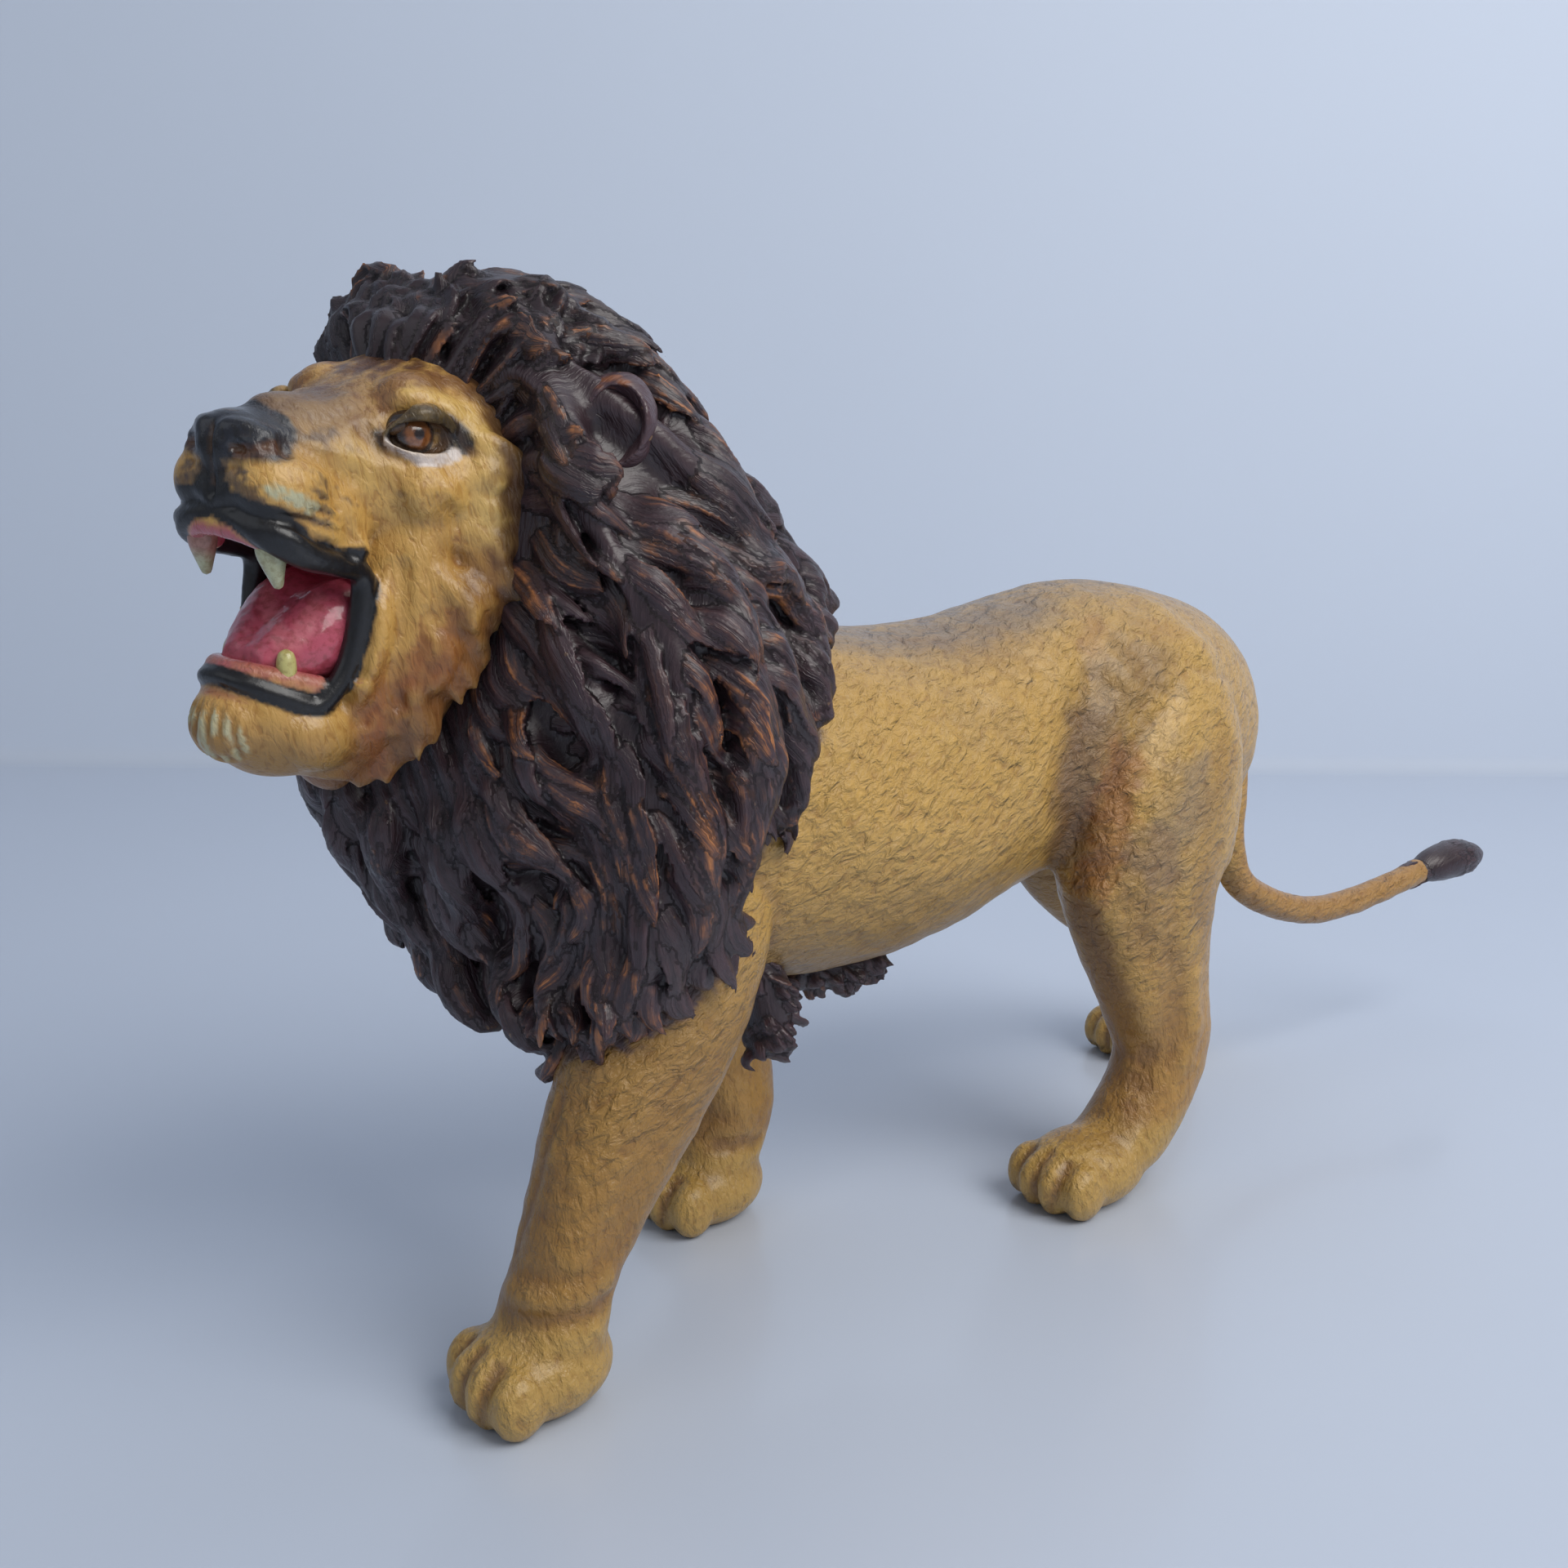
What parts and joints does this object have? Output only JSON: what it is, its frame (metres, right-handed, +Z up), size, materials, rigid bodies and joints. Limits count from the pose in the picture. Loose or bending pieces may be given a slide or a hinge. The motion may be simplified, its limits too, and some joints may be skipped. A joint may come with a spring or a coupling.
{
  "type": "toy wild animal figure",
  "caption": "Solid vinyl toy figure of a roaring male lion in mid stride, with a thick mane of layered locks and a trailing tufted tail.",
  "frame": {"origin": "under the middle of the figure's bounding box, on the surface that it stands on", "axes": "+Z up, +Y towards the tail, -Y towards the face, +X towards the lion's left side"},
  "size_m": [0.0536, 0.2044, 0.1085],
  "materials": {
    "coat": "golden tan vinyl with sculpted short fur and airbrushed shading",
    "leg_coat": "pale golden tan vinyl, paler paws, brown wash at the joints",
    "tail_coat": "golden orange vinyl with a dark brown tuft",
    "mane_hair": "dark purplish brown satin paint with orange brown dry-brushed ridges",
    "face_coat": "tan vinyl with brown wash, black lips and ivory teeth",
    "tongue_skin": "glossy dark pink paint"
  },
  "bodies": {
    "root": {"torso": "coat", "front_left_leg": "leg_coat", "front_right_leg": "leg_coat", "hind_left_leg": "leg_coat", "hind_right_leg": "leg_coat", "tail": "tail_coat", "mane": "mane_hair", "head": "face_coat", "lower_jaw": "face_coat", "tongue": "tongue_skin"}
  },
  "joints": []
}
